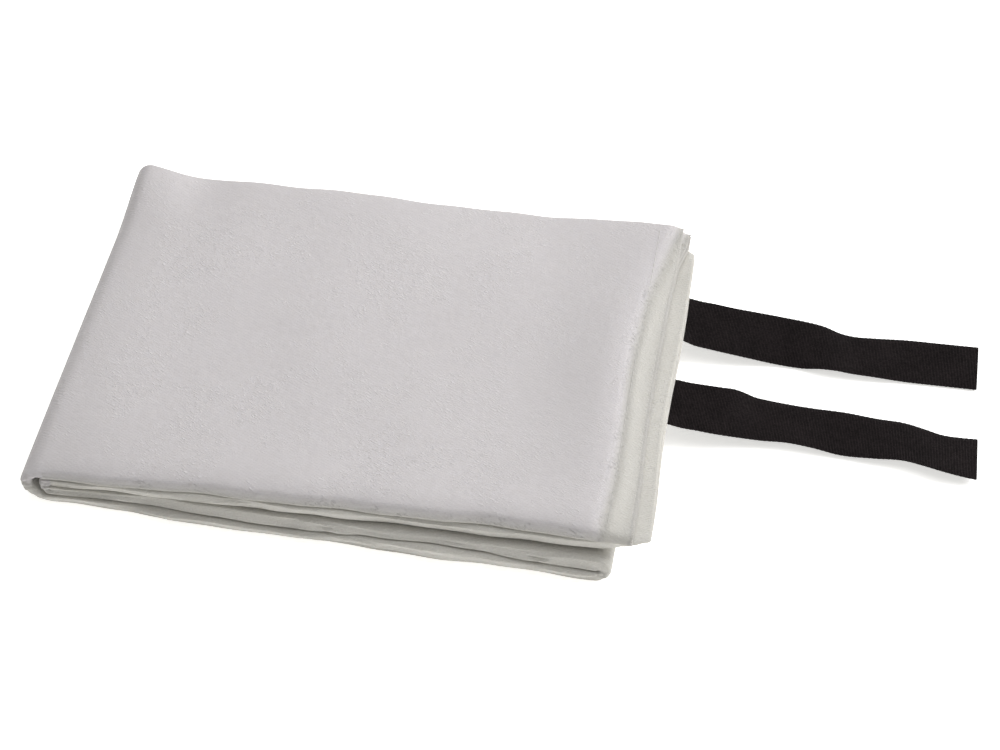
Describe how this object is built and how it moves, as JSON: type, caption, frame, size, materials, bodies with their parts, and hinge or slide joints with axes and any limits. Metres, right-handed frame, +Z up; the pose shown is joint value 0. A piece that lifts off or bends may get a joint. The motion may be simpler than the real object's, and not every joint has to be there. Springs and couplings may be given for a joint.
{
  "type": "fire blanket",
  "caption": "Folded white glass-fibre fire blanket with flat black webbing pull tapes sewn to one hem; its top panel opens like a cover.",
  "frame": {"origin": "middle of the pack's flat underside, half way between its left fold and its top edge", "axes": "+X towards the pull tapes, +Y to the far side, +Z up from the surface that the pack rests on"},
  "size_m": [0.3934, 0.183, 0.0271],
  "materials": {
    "glass_cloth": "woven satin glass cloth, soft sheen",
    "glass_cloth_hem": "turned and pressed glass cloth edge",
    "black_webbing": "ribbed woven webbing, matt",
    "sewing_thread": "twisted glass sewing thread"
  },
  "bodies": {
    "lower_pack": {"bottom_panel": "glass_cloth", "lower_middle_panel": "glass_cloth", "upper_middle_panel": "glass_cloth", "right_fold": "glass_cloth", "inner_left_fold": "glass_cloth", "tape_edge_hem": "glass_cloth_hem", "tape_hem_inner_stitch_row": "sewing_thread", "tape_hem_outer_stitch_row": "sewing_thread", "far_tape_box_stitch": "sewing_thread", "near_tape_box_stitch": "sewing_thread", "far_tape_tab": "black_webbing", "near_tape_tab": "black_webbing"},
    "fold_spine": {"outer_left_fold": "glass_cloth"},
    "top_flap": {"top_panel": "glass_cloth", "top_edge_hem": "glass_cloth_hem", "top_hem_inner_stitch_row": "sewing_thread", "top_hem_outer_stitch_row": "sewing_thread"},
    "far_tape": {"far_pull_tape": "black_webbing"},
    "near_tape": {"near_pull_tape": "black_webbing"}
  },
  "joints": [
    {"name": "spine_turn", "type": "hinge", "parent": "lower_pack", "child": "fold_spine", "pos_m": [-0.12585, 0, 0.00215], "axis": [0, -1, 0], "range_deg": [0, 89.25], "deforming": ["outer_left_fold"]},
    {"name": "flap_turn", "type": "hinge", "parent": "fold_spine", "child": "top_flap", "pos_m": [-0.12585, 0, 0.01785], "axis": [0, -1, 0], "range_deg": [0, 89.25], "deforming": ["outer_left_fold"]},
    {"name": "far_tape_lift", "type": "hinge", "parent": "lower_pack", "child": "far_tape", "pos_m": [0.1354, 0.0485, 0.01298], "axis": [0, -1, 0], "range_deg": [0, 90]},
    {"name": "near_tape_lift", "type": "hinge", "parent": "lower_pack", "child": "near_tape", "pos_m": [0.1354, -0.002, 0.01298], "axis": [0, -1, 0], "range_deg": [0, 90]}
  ],
  "couplings": [
    {"joint": "flap_turn", "follows": "spine_turn", "ratio": 1}
  ]
}
